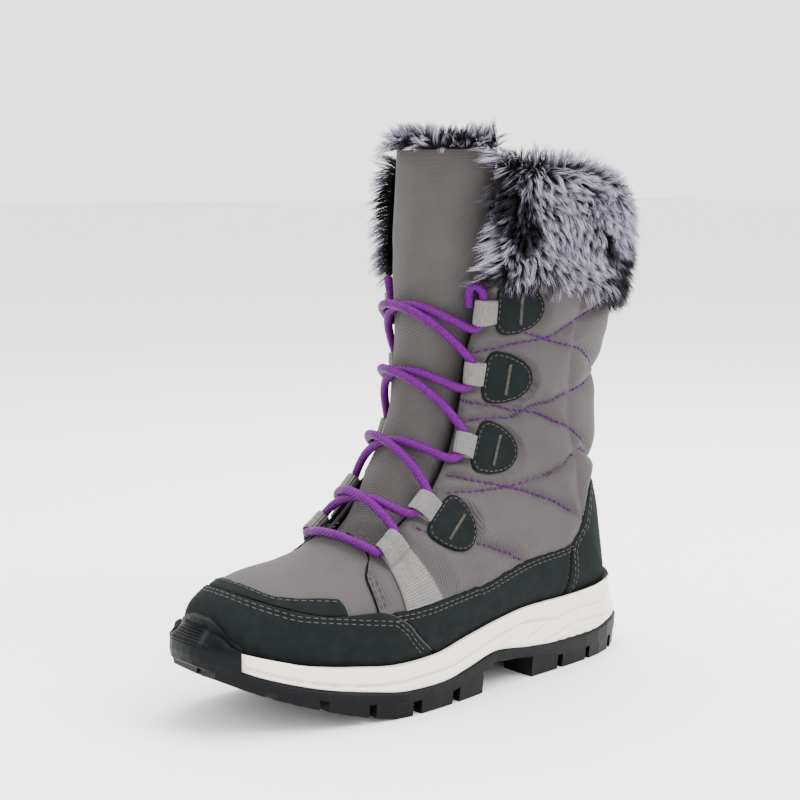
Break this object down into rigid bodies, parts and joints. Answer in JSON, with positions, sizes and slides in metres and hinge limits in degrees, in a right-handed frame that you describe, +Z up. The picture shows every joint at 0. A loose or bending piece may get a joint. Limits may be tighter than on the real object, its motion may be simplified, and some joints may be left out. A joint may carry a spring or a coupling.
{
  "type": "snow boot",
  "caption": "Left-foot tall winter boot with a quilted shaft, faux-fur cuff, lug sole, toe bumper and cord lacing through webbing loops.",
  "frame": {"origin": "centre of the boot's outline seen from above, on the ground under the sole", "axes": "+X to the toe, +Y to the wearer's left (the outer side), +Z up"},
  "size_m": [0.2832, 0.1226, 0.293],
  "materials": {
    "nylon": "matte ripstop weave",
    "nubuck": "matte nubuck",
    "foam": "smooth moulded foam",
    "rubber": "matte moulded rubber",
    "plush": "long pile, dark at the root and pale at the tips",
    "webbing": "ribbed woven tape",
    "cord": "braided",
    "lining": "fleece"
  },
  "bodies": {
    "root": {"upper": "nylon", "toe_cap": "nubuck", "toe_overlay": "nubuck", "rand_left": "nubuck", "rand_right": "nubuck", "heel_counter": "nubuck", "tongue": "nylon", "tongue_fur": "plush", "fur_cuff": "plush", "insole": "lining", "midsole": "foam", "outsole": "rubber", "lace_tab_left_1": "nubuck", "lace_loop_left_1": "webbing", "lace_tab_left_2": "nubuck", "lace_loop_left_2": "webbing", "lace_tab_left_3": "nubuck", "lace_loop_left_3": "webbing", "lace_tab_left_4": "nubuck", "lace_loop_left_4": "webbing", "vamp_strap_left": "webbing", "lace_end_left": "cord", "lace_tab_right_1": "nubuck", "lace_loop_right_1": "webbing", "lace_tab_right_2": "nubuck", "lace_loop_right_2": "webbing", "lace_tab_right_3": "nubuck", "lace_loop_right_3": "webbing", "lace_tab_right_4": "nubuck", "lace_loop_right_4": "webbing", "vamp_strap_right": "webbing", "lace_end_right": "cord", "lace_cross_1": "cord", "lace_cross_2": "cord", "lace_cross_3": "cord", "lace_cross_4": "cord", "lace_bar": "cord"}
  },
  "joints": []
}
